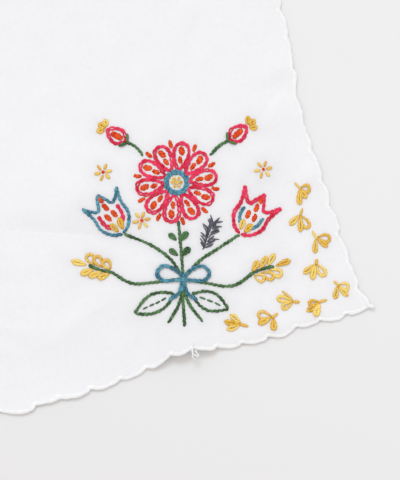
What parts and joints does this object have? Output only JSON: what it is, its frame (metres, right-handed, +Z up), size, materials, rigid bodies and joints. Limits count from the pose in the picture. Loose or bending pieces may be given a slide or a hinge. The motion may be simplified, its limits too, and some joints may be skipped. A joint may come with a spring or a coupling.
{
  "type": "embroidered scalloped-edge stole",
  "caption": "White cotton stole laid open, with a scalloped stitched edge and hand embroidery of flowers and leaf sprigs at a corner.",
  "frame": {"origin": "middle of the stole, on the surface it lies on", "axes": "+Y along the length, away from the embroidered end; +X across, towards the long side next to the embroidery; +Z up"},
  "size_m": [0.4797, 1.44, 0.0075],
  "materials": {
    "cotton": "matte",
    "edge_thread": "satin",
    "pink_thread": "satin",
    "orange_thread": "satin",
    "teal_thread": "satin",
    "green_thread": "satin",
    "yellow_thread": "satin",
    "grey_thread": "satin"
  },
  "bodies": {
    "root": {"stole_cloth": "cotton"}
  },
  "joints": []
}
